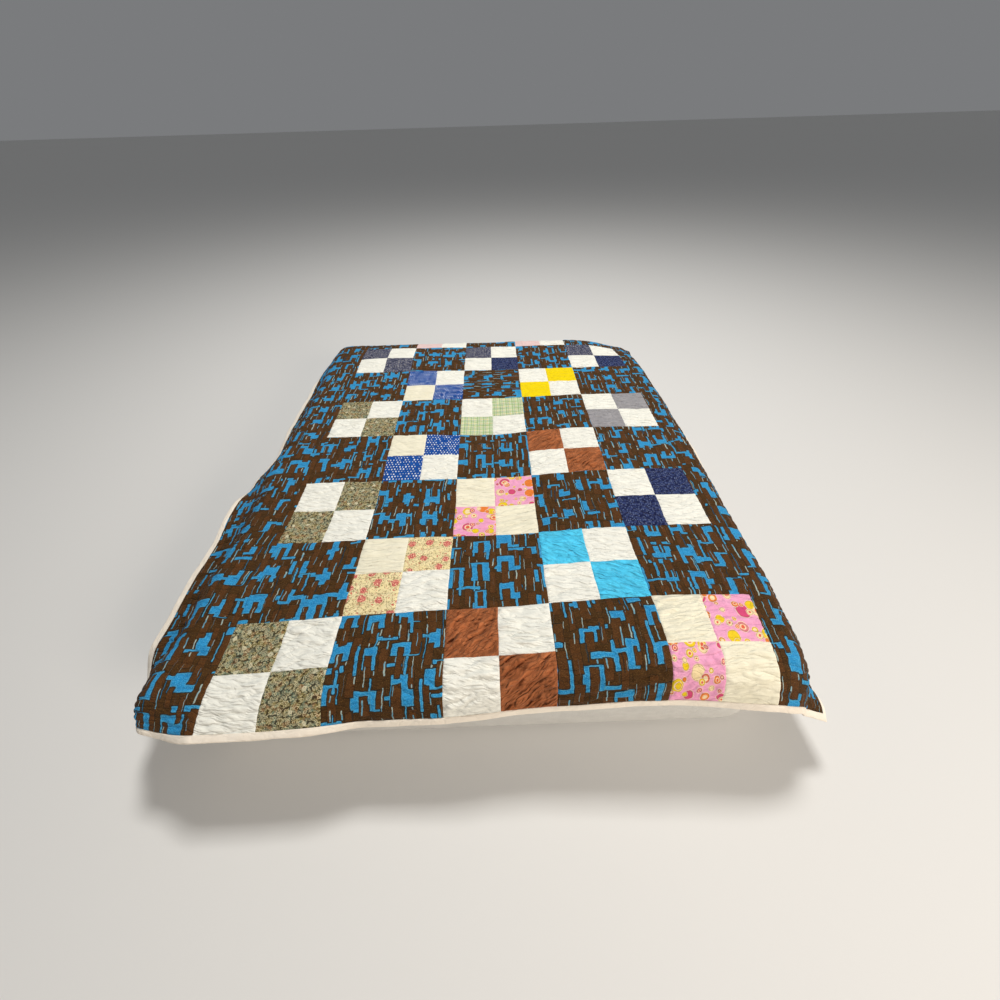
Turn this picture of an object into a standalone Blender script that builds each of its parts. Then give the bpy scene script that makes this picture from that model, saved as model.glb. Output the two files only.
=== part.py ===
"""A patchwork quilt that lies on a mattress and falls a little way over its edges.

Metres, +Z up. +X runs across the bed, +Y from its foot to its head. The origin is on the floor, under the
middle of the whole object's box.

The cloth is laid out in patch coordinates: u counts square patches to the right from the inner edge of
the left border, and v counts them from the foot edge towards the head. drape(u, v) gives the place of
such a point once the quilt lies on the bed.
"""

import bpy
import numpy as np

PATCH = 0.127  # finished side of one square patch, 5 in
QUILT_THICK = 0.006  # top, batting and backing together
BINDING_WIDTH = 0.018  # what the binding covers on each face
BINDING_THICK = 0.001  # its two layers of folded cotton
PIECE_GAP = 0.0003  # between the binding and the quilt it wraps
REST_GAP = 0.0005  # between the quilt's underside and the mattress
EDGE_GAP = 0.002  # the same at the mattress's top edges
MATTRESS_TALL = 0.300

# The pieced top in patches: five blocks of two patches, with a border of one block at each side.
FIRST_U, LAST_U = -2, 12
FIRST_V, LAST_V = 0, 16
RIM = BINDING_WIDTH / PATCH  # the bound edge outside the pieced top, in patches

# Where the cloth leaves the flat of the bed, in patches, and how long each bend is.
LEFT_FALL, RIGHT_FALL = -0.72, 10.22
FOOT_FALL, HEAD_FALL = 1.08, 14.17
SIDE_BEND, END_BEND = 0.75, 1.0

# How steeply the two sides hang, in degrees, by place along the bed. On the left the cloth first dips
# over the mattress edge by a further "dip" degrees, then runs out at its own angle. Near its rim each
# side lifts again by its "flare" degrees.
SIDE_HANG = (  # v, left, left dip, right, left flare, right flare
    (0.0, 70, 0, 56, 0, 0),
    (1.1, 55, 4, 63, 0, 0),
    (1.9, 9, 60, 82, 0, 0),
    (4.2, 8, 48, 78, 0, 0),
    (5.7, 11, 28, 66, 0, 12),
    (6.5, 36, 0, 62, 0, 26),
    (8.2, 52, 0, 60, 24, 30),
    (9.6, 46, 6, 61, 36, 30),
    (11.5, 45, 8, 76, 38, 30),
    (12.4, 43, 7, 80, 34, 30),
    (12.9, 37, 6, 81, 0, 20),
    (16.0, 54, 0, 66, 0, 0),
)
LEFT_RIM, RIGHT_RIM = 0.95, 1.30  # patches past each fall where the rim begins to flare out
RIM_BEND = 0.35
DIP_PLACE, DIP_REACH = 0.5, 0.3  # patches past LEFT_FALL, and half the dip's length
END_HANG = (  # u, foot, head
    (-2.0, 70, 58),
    (-1.0, 60, 62),
    (0.0, 32, 64),
    (1.6, 38, 67),
    (2.7, 58, 70),
    (4.2, 60, 70),
    (6.0, 74, 69),
    (8.0, 76, 68),
    (10.0, 56, 67),
    (12.0, 36, 58),
)

# Soft hollows and rises of the bed under the cloth, in patches.
SWELLS = (  # u, v, reach in u, reach in v, height
    (0.5, 4.2, 2.6, 2.0, -0.16),
    (5.0, 4.8, 2.0, 1.6, -0.17),
    (8.3, 1.2, 2.4, 1.5, 0.30),
    (1.0, 13.0, 2.5, 1.2, 0.13),
    (4.8, 8.4, 1.4, 1.2, -0.12),
    (8.0, 7.0, 1.8, 2.4, 0.08),
    (0.0, 1.0, 2.2, 1.6, -0.34),
    (10.7, 14.5, 1.3, 1.3, -0.40),
    (11.2, -0.1, 0.8, 0.9, -0.50),
)
# How far each hanging corner swings from where its two sides alone would leave it, in patches.
CORNER_FLARES = (  # right side, head end, across, along, up
    (False, False, 0.05, 0.20, 0.50),
    (True, False, -0.16, 0.20, 0.42),
    (False, True, -0.15, 0.05, 0.35),
    (True, True, 0.15, 0.05, 0.65),
)
FLARE_SIDE, FLARE_END = 1.3, 1.2  # patches past the bends at which a flare is complete
LEFT_DRIFT, RIGHT_DRIFT = 0.33, 0.20  # how far the foot end was pulled to the left, in patches

# The mattress's side faces, in patches like the cloth, and its roundings.
MATTRESS_LEFT, MATTRESS_RIGHT = -1.28, 10.42
MATTRESS_FOOT, MATTRESS_HEAD = 0.56, 14.72
EDGE_DROP = 0.42  # height of the rounded top edge
PLAN_CORNER = 0.80  # radius of the mattress's corners seen from above
FOOT_ROUND = 0.20  # rounding under the mattress
TOP_EDGE_STEPS = 3
SHARP_ANGLE = 40  # degrees; flatter edges are shaded smooth

# Grid lines of the cloth, closer together where it bends.
LINES_U = (
    [FIRST_U - RIM, FIRST_U, -1.75, -1.5, -1.25, -1.0, LEFT_FALL]
    + [float(u) for u in range(0, 11)]
    + [RIGHT_FALL, 10.42, 10.62, 10.82, 11.1, 11.4, 11.7, LAST_U, LAST_U + RIM]
)
LINES_V = (
    [FIRST_V - RIM, FIRST_V, 0.27, 0.54, 0.81, FOOT_FALL]
    + [1.5 + 0.5 * step for step in range(0, 26)]
    + [HEAD_FALL + step for step in (0.0, 0.25, 0.5, 0.75, 1.0, 1.3, 1.6)]
    + [LAST_V, LAST_V + RIM]
)


def ease(t):
    """0 before 0, 1 after 1, and an S between."""
    t = np.clip(t, 0.0, 1.0)
    return t * t * (3.0 - 2.0 * t)


def along(rows, place, column):
    """One column of a table, eased from row to row by the table's first column."""
    table = np.array(rows, float)
    place = np.clip(place, table[0, 0], table[-1, 0])
    row = np.clip(np.searchsorted(table[:, 0], place, side="right") - 1, 0, len(table) - 2)
    part = ease((place - table[row, 0]) / (table[row + 1, 0] - table[row, 0]))
    return table[row, column] * (1.0 - part) + table[row + 1, column] * part


def walk(length, slope):
    """How far out and how far down cloth goes over a length, where slope(distance) is in degrees."""
    steps = 24
    out = down = 0.0
    for step in range(steps):
        angle = np.radians(slope(length * (step + 0.5) / steps))
        out = out + np.cos(angle)
        down = down + np.sin(angle)
    return out * length / steps, down * length / steps


def swell(u, v):
    """Height of the bed's hollows and rises, in patches."""
    height = 0.0
    for at_u, at_v, reach_u, reach_v, rise in SWELLS:
        height = height + rise * np.exp(-(((u - at_u) / reach_u) ** 2) - ((v - at_v) / reach_v) ** 2)
    return height


def drape(u, v):
    """The middle of the quilt's thickness at patch coordinates (u, v), as x, y, z in metres."""
    u, v = np.broadcast_arrays(np.asarray(u, float), np.asarray(v, float))
    left, right = np.maximum(LEFT_FALL - u, 0.0), np.maximum(u - RIGHT_FALL, 0.0)
    foot, head = np.maximum(FOOT_FALL - v, 0.0), np.maximum(v - HEAD_FALL, 0.0)
    hang_left, dip, hang_right = (along(SIDE_HANG, v, column) for column in (1, 2, 3))
    flare_left, flare_right = (along(SIDE_HANG, v, column) for column in (4, 5))
    hang_foot, hang_head = (along(END_HANG, u, column) for column in (1, 2))

    def left_slope(s):
        dipping = dip * np.exp(-(((s - DIP_PLACE) / DIP_REACH) ** 2))
        return hang_left * ease(s / SIDE_BEND) + dipping - flare_left * ease((s - LEFT_RIM) / RIM_BEND)

    def right_slope(s):
        return hang_right * ease(s / SIDE_BEND) - flare_right * ease((s - RIGHT_RIM) / RIM_BEND)

    out_left, down_left = walk(left, left_slope)
    out_right, down_right = walk(right, right_slope)
    out_foot, down_foot = walk(foot, lambda s: hang_foot * ease(s / END_BEND))
    out_head, down_head = walk(head, lambda s: hang_head * ease(s / END_BEND))

    x = np.clip(u, LEFT_FALL, RIGHT_FALL) - out_left + out_right
    y = np.clip(v, FOOT_FALL, HEAD_FALL) - out_foot + out_head
    z = swell(u, v) - down_left - down_right - down_foot - down_head
    x = x - LEFT_DRIFT * ease((4.0 - u) / 5.0) * ease((6.5 - v) / 6.0)
    x = x - RIGHT_DRIFT * ease((u - 7.0) / 3.0) * ease((3.0 - v) / 2.0)
    for on_right, at_head, across, lengthwise, up in CORNER_FLARES:
        side = right if on_right else left
        end = head if at_head else foot
        share = ease(side / FLARE_SIDE) * ease(end / FLARE_END)
        x, y, z = x + across * share, y + lengthwise * share, z + up * share
    rest = MATTRESS_TALL + REST_GAP + QUILT_THICK / 2
    return np.stack([x * PATCH, y * PATCH, z * PATCH + rest], axis=-1)


def grid_frame():
    """Points, unit normals and outward directions at every crossing of the cloth's grid lines."""
    u, v = np.meshgrid(LINES_U, LINES_V, indexing="ij")
    reach = 0.01
    points = drape(u, v)
    across = drape(u + reach, v) - drape(u - reach, v)
    lengthwise = drape(u, v + reach) - drape(u, v - reach)
    across /= np.linalg.norm(across, axis=-1, keepdims=True)
    lengthwise /= np.linalg.norm(lengthwise, axis=-1, keepdims=True)
    normals = np.cross(across, lengthwise)
    normals /= np.linalg.norm(normals, axis=-1, keepdims=True)
    beside, beyond = np.cross(lengthwise, normals), np.cross(normals, across)
    outward = np.zeros_like(points)
    outward[0], outward[-1] = -beside[0], beside[-1]
    outward[:, 0], outward[:, -1] = -beyond[:, 0], beyond[:, -1]
    for i, j in ((0, 0), (0, -1), (-1, 0), (-1, -1)):
        out_side = beside[i, j] if i else -beside[i, j]
        out_end = beyond[i, j] if j else -beyond[i, j]
        outward[i, j] = (out_side + out_end) / (1.0 + out_side @ out_end)
    return points, normals, outward


def rim_loop(inset=0):
    """Grid indices round the cloth, counter-clockwise from above, inset lines in from the edge."""
    last_i, last_j = len(LINES_U) - 1 - inset, len(LINES_V) - 1 - inset
    foot = [(i, inset) for i in range(inset, last_i)]
    right = [(last_i, j) for j in range(inset, last_j)]
    head = [(i, last_j) for i in range(last_i, inset, -1)]
    left = [(inset, j) for j in range(last_j, inset, -1)]
    return foot + right + head + left


def cells(only_rim=False):
    """The four corner indices of each grid cell, counter-clockwise from above."""
    count_i, count_j = len(LINES_U) - 1, len(LINES_V) - 1
    for i in range(count_i):
        for j in range(count_j):
            on_rim = i in (0, count_i - 1) or j in (0, count_j - 1)
            if on_rim or not only_rim:
                yield (i, j), (i + 1, j), (i + 1, j + 1), (i, j + 1)


class Shell:
    """Collects the points and triangles of one closed mesh, with points named by a key."""

    def __init__(self):
        self.place = {}
        self.points = []
        self.faces = []

    def point(self, key, position):
        self.place[key] = len(self.points)
        self.points.append(tuple(float(c) for c in position))

    def quad(self, a, b, c, d):
        """Two triangles, always split from the first corner to the third."""
        a, b, c, d = (self.place[key] for key in (a, b, c, d))
        self.faces += [(a, b, c), (a, c, d)]

    def strip(self, lower, upper, inward=False):
        """Faces between two closed loops of keys that run counter-clockwise, facing out or inward."""
        for k in range(len(lower)):
            n = (k + 1) % len(lower)
            if inward:
                self.quad(lower[k], upper[k], upper[n], lower[n])
            else:
                self.quad(lower[k], lower[n], upper[n], upper[k])


def material(name, colour, roughness):
    made = bpy.data.materials.new(name)
    made.use_nodes = True
    shader = made.node_tree.nodes["Principled BSDF"]
    shader.inputs["Base Color"].default_value = (*colour, 1.0)
    shader.inputs["Roughness"].default_value = roughness
    shader.inputs["Metallic"].default_value = 0.0
    return made


def add_object(name, shell, finish):
    mesh = bpy.data.meshes.new(name)
    mesh.from_pydata(shell.points, [], shell.faces)
    mesh.materials.append(finish)
    mesh.update()
    mesh.shade_smooth()
    mesh.set_sharp_from_angle(angle=np.radians(SHARP_ANGLE))
    made = bpy.data.objects.new(name, mesh)
    bpy.context.scene.collection.objects.link(made)
    return made


def quilt_shell(points, normals):
    """Top, batting and backing as one sheet of even thickness."""
    shell = Shell()
    half = QUILT_THICK / 2
    for i in range(len(LINES_U)):
        for j in range(len(LINES_V)):
            shell.point(("top", i, j), points[i, j] + normals[i, j] * half)
            shell.point(("back", i, j), points[i, j] - normals[i, j] * half)
    for a, b, c, d in cells():
        shell.quad(("top", *a), ("top", *b), ("top", *c), ("top", *d))
        shell.quad(("back", *a), ("back", *d), ("back", *c), ("back", *b))
    rim = rim_loop()
    shell.strip([("back", *k) for k in rim], [("top", *k) for k in rim])
    return shell


def binding_shell(points, normals, outward):
    """A folded strip of C section that wraps the quilt's edge, with square corners."""
    shell = Shell()
    inner = QUILT_THICK / 2 + PIECE_GAP
    outer = inner + BINDING_THICK
    edge, inset = rim_loop(0), rim_loop(1)
    for i, j in edge:
        point, up, out = points[i, j], normals[i, j], outward[i, j]
        for side, sign in (("top", 1.0), ("back", -1.0)):
            shell.point((side, "in", i, j), point + up * inner * sign + out * PIECE_GAP)
            shell.point((side, "out", i, j), point + up * outer * sign + out * PIECE_GAP)
            fold = out * (PIECE_GAP + BINDING_THICK)
            shell.point((side, "fold", i, j), point + up * inner * sign * 0.6 + fold)
    for i, j in inset:
        point, up = points[i, j], normals[i, j]
        for side, sign in (("top", 1.0), ("back", -1.0)):
            shell.point((side, "in", i, j), point + up * inner * sign)
            shell.point((side, "out", i, j), point + up * outer * sign)
    for a, b, c, d in cells(only_rim=True):
        shell.quad(*[("top", "out", *k) for k in (a, b, c, d)])
        shell.quad(*[("top", "in", *k) for k in (a, d, c, b)])
        shell.quad(*[("back", "out", *k) for k in (a, d, c, b)])
        shell.quad(*[("back", "in", *k) for k in (a, b, c, d)])

    def ring(side, layer, loop):
        return [(side, layer, *k) for k in loop]

    shell.strip(ring("back", "in", edge), ring("top", "in", edge), inward=True)
    shell.strip(ring("back", "out", edge), ring("back", "fold", edge))
    shell.strip(ring("back", "fold", edge), ring("top", "fold", edge))
    shell.strip(ring("top", "fold", edge), ring("top", "out", edge))
    shell.strip(ring("top", "in", inset), ring("top", "out", inset), inward=True)
    shell.strip(ring("back", "out", inset), ring("back", "in", inset), inward=True)
    return shell


def mattress_wall(x, y):
    """The point of the mattress's upright faces beside (x, y) on its top, in patches."""
    walls_x = {LEFT_FALL: MATTRESS_LEFT, RIGHT_FALL: MATTRESS_RIGHT}
    walls_y = {FOOT_FALL: MATTRESS_FOOT, HEAD_FALL: MATTRESS_HEAD}
    return walls_x.get(x, x), walls_y.get(y, y)


def rounded(x, y):
    """Moves a point of the mattress's square outline onto its rounded corners, in patches."""
    centre_x = min(max(x, MATTRESS_LEFT + PLAN_CORNER), MATTRESS_RIGHT - PLAN_CORNER)
    centre_y = min(max(y, MATTRESS_FOOT + PLAN_CORNER), MATTRESS_HEAD - PLAN_CORNER)
    away = np.array([x - centre_x, y - centre_y])
    if away[0] == 0.0 or away[1] == 0.0:
        return x, y
    away *= PLAN_CORNER / np.linalg.norm(away)
    return centre_x + away[0], centre_y + away[1]


def mattress_shell(points):
    """A plain mattress whose top follows the cloth that rests on it, with soft rounded edges."""
    shell = Shell()
    first_i, last_i = LINES_U.index(LEFT_FALL), LINES_U.index(RIGHT_FALL)
    first_j, last_j = LINES_V.index(FOOT_FALL), LINES_V.index(HEAD_FALL)

    def under_cloth(i, j):
        """The mattress's own point below a crossing of the cloth's grid lines."""
        on_edge = i in (first_i, last_i) or j in (first_j, last_j)
        return points[i, j] - np.array([0.0, 0.0, QUILT_THICK / 2 + (EDGE_GAP if on_edge else REST_GAP)])

    for i in range(first_i, last_i + 1):
        for j in range(first_j, last_j + 1):
            shell.point(("top", i, j), under_cloth(i, j))
    for i in range(first_i, last_i):
        for j in range(first_j, last_j):
            shell.quad(*[("top", *k) for k in ((i, j), (i + 1, j), (i + 1, j + 1), (i, j + 1))])
    foot = [(i, first_j) for i in range(first_i, last_i)]
    right = [(last_i, j) for j in range(first_j, last_j)]
    head = [(i, last_j) for i in range(last_i, first_i, -1)]
    left = [(first_i, j) for j in range(last_j, first_j, -1)]
    loop = foot + right + head + left
    walls = [rounded(*mattress_wall(LINES_U[i], LINES_V[j])) for i, j in loop]
    rings = [[("top", *k) for k in loop]]

    def add_ring(name, place):
        for k, wall in zip(loop, walls):
            shell.point((name, *k), place(under_cloth(*k), np.array([*wall, 0.0]) * PATCH))
        rings.append([(name, *k) for k in loop])

    for step in range(1, TOP_EDGE_STEPS + 1):
        turn = np.radians(90.0 * step / TOP_EDGE_STEPS)
        out, down = np.sin(turn), EDGE_DROP * PATCH * (1.0 - np.cos(turn))

        def bend(top, wall, out=out, down=down):
            return np.array([*(top[:2] + (wall[:2] - top[:2]) * out), top[2] - down])

        add_ring(f"edge{step}", bend)
    foot_round = FOOT_ROUND * PATCH
    middle = np.array([MATTRESS_LEFT + MATTRESS_RIGHT, MATTRESS_FOOT + MATTRESS_HEAD, 0.0]) * PATCH / 2

    def under(wall, inset, height):
        """A point at a height, moved from the wall towards the middle by an inset."""
        toward = np.sign(middle - wall) * np.minimum(np.abs(middle - wall), inset)
        return np.array([wall[0] + toward[0], wall[1] + toward[1], height])

    add_ring("wall", lambda top, wall: under(wall, 0.0, foot_round))
    add_ring("turn", lambda top, wall: under(wall, foot_round * 0.3, foot_round * 0.3))
    add_ring("sole", lambda top, wall: under(wall, foot_round, 0.0))
    for upper, lower in zip(rings, rings[1:]):
        shell.strip(lower, upper)
    shell.point("centre", [middle[0], middle[1], 0.0])
    sole, centre = rings[-1], shell.place["centre"]
    for k, key in enumerate(sole):
        nearest = shell.place[sole[(k + 1) % len(sole)]]
        shell.faces.append((nearest, shell.place[key], centre))
    return shell


def move_to_origin(objects):
    """Puts the middle of the whole box's underside at the origin."""
    corners = np.array([vertex.co[:] for made in objects for vertex in made.data.vertices])
    low, high = corners.min(axis=0), corners.max(axis=0)
    shift = np.array([(low[0] + high[0]) / 2, (low[1] + high[1]) / 2, low[2]])
    for made in objects:
        for vertex in made.data.vertices:
            vertex.co = np.array(vertex.co) - shift
        made.data.update()


def main():
    for old in list(bpy.data.objects):
        bpy.data.objects.remove(old)
    points, normals, outward = grid_frame()
    cotton = material("patchwork cotton", (0.36, 0.33, 0.29), 0.90)
    cream = material("binding cotton", (0.74, 0.68, 0.60), 0.88)
    ticking = material("mattress ticking", (0.80, 0.79, 0.76), 0.92)
    objects = [
        add_object("quilt", quilt_shell(points, normals), cotton),
        add_object("binding", binding_shell(points, normals, outward), cream),
        add_object("mattress", mattress_shell(points), ticking),
    ]
    move_to_origin(objects)


main()
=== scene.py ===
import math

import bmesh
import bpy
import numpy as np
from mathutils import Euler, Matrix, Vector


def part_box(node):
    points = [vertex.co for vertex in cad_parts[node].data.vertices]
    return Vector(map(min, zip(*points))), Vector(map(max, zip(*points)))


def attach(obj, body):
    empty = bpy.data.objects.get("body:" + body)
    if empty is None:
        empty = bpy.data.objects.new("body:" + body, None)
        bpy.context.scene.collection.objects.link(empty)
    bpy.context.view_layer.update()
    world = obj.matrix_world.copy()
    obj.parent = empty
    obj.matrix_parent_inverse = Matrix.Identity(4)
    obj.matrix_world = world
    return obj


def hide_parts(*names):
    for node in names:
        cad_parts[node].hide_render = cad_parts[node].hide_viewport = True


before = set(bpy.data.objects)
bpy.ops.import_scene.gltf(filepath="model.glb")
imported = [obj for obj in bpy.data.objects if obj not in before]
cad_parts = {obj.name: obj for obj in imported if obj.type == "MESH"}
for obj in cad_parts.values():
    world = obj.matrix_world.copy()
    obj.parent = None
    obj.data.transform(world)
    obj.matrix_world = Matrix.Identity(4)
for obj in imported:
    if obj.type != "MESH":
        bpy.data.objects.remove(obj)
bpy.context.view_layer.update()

# The looks of a patchwork quilt that lies on a mattress: a pieced top of printed and plain cottons that is
# quilted and puckered all over, its backing, the binding round its edge, and the mattress's cover.
#
# The cloth is laid out in patch coordinates, as in the CAD source: u counts square patches to the right
# from the inner edge of the left border, and v counts them from the foot edge towards the head. drape(u, v)
# gives the place of such a point on the bed, and top_height() the puckers on top of it.

# ---- sizes that repeat the CAD source, in metres
PATCH = 0.127  # finished side of one square patch
QUILT_THICK = 0.006
BINDING_WIDTH = 0.018
REST_GAP = 0.0005
MATTRESS_TALL = 0.300

# The rest of this section is in patches, with angles in degrees.
FIRST_U, LAST_U = -2, 12
FIRST_V, LAST_V = 0, 16
INNER_LEFT, INNER_RIGHT = 0, 10  # between the side borders
RIM = BINDING_WIDTH / PATCH
LEFT_FALL, RIGHT_FALL = -0.72, 10.22
FOOT_FALL, HEAD_FALL = 1.08, 14.17
SIDE_BEND, END_BEND = 0.75, 1.0
SIDE_HANG = (  # v, left, left dip, right, left flare, right flare
    (0.0, 70, 0, 56, 0, 0),
    (1.1, 55, 4, 63, 0, 0),
    (1.9, 9, 60, 82, 0, 0),
    (4.2, 8, 48, 78, 0, 0),
    (5.7, 11, 28, 66, 0, 12),
    (6.5, 36, 0, 62, 0, 26),
    (8.2, 52, 0, 60, 24, 30),
    (9.6, 46, 6, 61, 36, 30),
    (11.5, 45, 8, 76, 38, 30),
    (12.4, 43, 7, 80, 34, 30),
    (12.9, 37, 6, 81, 0, 20),
    (16.0, 54, 0, 66, 0, 0),
)
LEFT_RIM, RIGHT_RIM = 0.95, 1.30  # patches past each fall where the rim begins to flare out
RIM_BEND = 0.35
DIP_PLACE, DIP_REACH = 0.5, 0.3
END_HANG = (  # u, foot, head
    (-2.0, 70, 58),
    (-1.0, 60, 62),
    (0.0, 32, 64),
    (1.6, 38, 67),
    (2.7, 58, 70),
    (4.2, 60, 70),
    (6.0, 74, 69),
    (8.0, 76, 68),
    (10.0, 56, 67),
    (12.0, 36, 58),
)
SWELLS = (  # u, v, reach in u, reach in v, height
    (0.5, 4.2, 2.6, 2.0, -0.16),
    (5.0, 4.8, 2.0, 1.6, -0.17),
    (8.3, 1.2, 2.4, 1.5, 0.30),
    (1.0, 13.0, 2.5, 1.2, 0.13),
    (4.8, 8.4, 1.4, 1.2, -0.12),
    (8.0, 7.0, 1.8, 2.4, 0.08),
    (0.0, 1.0, 2.2, 1.6, -0.34),
    (10.7, 14.5, 1.3, 1.3, -0.40),
    (11.2, -0.1, 0.8, 0.9, -0.50),
)
CORNER_FLARES = (  # right side, head end, across, along, up
    (False, False, 0.05, 0.20, 0.50),
    (True, False, -0.16, 0.20, 0.42),
    (False, True, -0.15, 0.05, 0.35),
    (True, True, 0.15, 0.05, 0.65),
)
FLARE_SIDE, FLARE_END = 1.3, 1.2
LEFT_DRIFT, RIGHT_DRIFT = 0.33, 0.20
MATTRESS_LEFT, MATTRESS_RIGHT = -1.28, 10.42
MATTRESS_FOOT, MATTRESS_HEAD = 0.56, 14.72
EDGE_DROP = 0.42
PLAN_CORNER = 0.80
FOOT_ROUND = 0.20

MM = 0.001
PATCH_MM = PATCH / MM
low_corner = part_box("mattress")[0]
SHIFT = np.array([low_corner.x - MATTRESS_LEFT * PATCH, low_corner.y - MATTRESS_FOOT * PATCH, low_corner.z])

# ---- the pieced top
# Each row is a block of four patches: its first u and v, and its fabrics at the far left, far right, near
# left and near right. The 10 in squares between these blocks and the side borders are the bar print.
FOUR_PATCHES = (
    (0, 0, "paisley", "white", "white", "paisley"),
    (4, 0, "rust", "white", "white", "rust"),
    (8, 0, "cream", "circles", "circles", "cream"),
    (2, 2, "cream", "roses", "roses", "white"),
    (6, 2, "turquoise", "white", "white", "turquoise"),
    (0, 4, "white", "paisley", "paisley", "white"),
    (4, 4, "cream", "circles", "circles", "cream"),
    (8, 4, "white", "navy", "navy", "white"),
    (2, 6, "cream", "calico", "calico", "white"),
    (6, 6, "rust", "white", "white", "rust"),
    (0, 8, "paisley", "white", "white", "paisley"),
    (4, 8, "white", "plaid", "plaid", "white"),
    (8, 8, "white", "grey", "grey", "white"),
    (2, 10, "calico", "white", "cream", "calico"),
    (6, 10, "white", "yellow", "yellow", "white"),
    (0, 12, "slate", "white", "white", "slate"),
    (4, 12, "slate", "white", "white", "navy"),
    (8, 12, "slate", "white", "white", "navy"),
    (2, 14, "white", "pink", "pink", "white"),
    (6, 14, "white", "pink", "pink", "white"),
)
TURNED_BLOCK = (4, 10)  # the one bar-print square whose bars lie across the bed
FINE_STEPS = (0.008, 0.022, 0.042)  # grid lines close to a seam, in patches
STEPS = 40  # grid steps across a patch of the top
BACKING_STEPS = 12  # and of the backing
BINDING_STEP = 0.03  # between two places along the binding, in patches
TUCK = 0.05  # how far the top goes under the binding, in patches
BAKE_MARGIN = 0.02  # round each bake tile, as a share of it
COVER_GAP = 0.004  # from the quilt's solid down to the mattress's cover, in metres
SIDE_HOLLOW = 0.004  # of the mattress's sides, in metres

# ---- quilting and puckers, in millimetres
LINE_SPACING = 27.0  # between quilting lines
PUFF_DEPTH, GATHER_DEPTH, CRINKLE_DEPTH = 1.4, 0.8, 2.1
SEAM_DITCH, SEAM_ALLOWANCE = 1.0, 0.30
SHALLOW = 0.5  # above the middle of the quilt: a valley that is lower than this is made less deep
LOWEST_VALLEY = 1.6  # how far a valley may sink below SHALLOW
STITCH_STEP = 5.0  # from one stitch to the next
THREAD = 0.45  # from one pair of threads of the weave to the next
SWIRLS = (  # u, v, reach, turns: where the quilting lines curve round
    (5.2, 0.9, 1.3, 2.6),
    (6.3, 3.4, 1.5, -3.2),
    (8.4, 2.3, 1.4, 2.2),
    (3.6, 2.1, 1.3, -2.4),
    (0.6, 1.2, 1.4, 1.8),
    (1.2, 5.0, 1.5, -2.0),
    (9.2, 5.3, 1.6, 2.4),
    (10.6, 2.6, 1.4, 2.0),
    (2.9, 6.8, 1.6, 2.2),
    (7.1, 7.4, 1.5, -2.2),
    (5.0, 9.4, 1.6, 2.0),
    (0.9, 9.6, 1.6, -2.0),
    (8.8, 10.3, 1.7, 2.2),
    (3.2, 11.6, 1.5, -2.0),
)
CRINKLE = {  # how strongly each fabric puckers, in which direction in degrees from crosswise, and how long
    "bars": (0.65, 0, 1.0),
    "white": (1.6, -8, 1.5),
    "cream": (1.2, 2, 1.7),
    "rust": (3.4, 34, 1.4),
    "turquoise": (1.8, -24, 1.5),
    "yellow": (0.9, -10, 1.0),
    "grey": (1.2, 8, 1.2),
    "navy": (0.9, 5, 1.0),
    "slate": (0.9, 0, 1.0),
    "calico": (0.8, 5, 1.0),
    "paisley": (0.7, 0, 1.0),
    "roses": (1.0, -10, 1.0),
    "circles": (1.0, 0, 1.0),
    "plaid": (0.9, 0, 1.0),
    "pink": (0.9, 0, 1.0),
}

# ---- the stage
FLOOR_SIDE = 80.0  # in metres
CAMERA_LENS = 14.8  # in millimetres
CAMERA_PLACE = (5.08, -2.35, 7.15)  # in patches: u, v, and how high above the quilt
CAMERA_TURN = (45.99, 1.25, -1.58)  # in degrees


def ease(t):
    """0 before 0, 1 after 1, and an S between."""
    t = np.clip(t, 0.0, 1.0)
    return t * t * (3.0 - 2.0 * t)


def along(rows, place, column):
    """One column of a table, eased from row to row by the table's first column."""
    table = np.array(rows, float)
    place = np.clip(place, table[0, 0], table[-1, 0])
    row = np.clip(np.searchsorted(table[:, 0], place, side="right") - 1, 0, len(table) - 2)
    part = ease((place - table[row, 0]) / (table[row + 1, 0] - table[row, 0]))
    return table[row, column] * (1.0 - part) + table[row + 1, column] * part


def walk(length, slope):
    """How far out and how far down cloth goes over a length, where slope(distance) is in degrees."""
    steps = 24
    out = down = 0.0
    for step in range(steps):
        angle = np.radians(slope(length * (step + 0.5) / steps))
        out = out + np.cos(angle)
        down = down + np.sin(angle)
    return out * length / steps, down * length / steps


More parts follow.
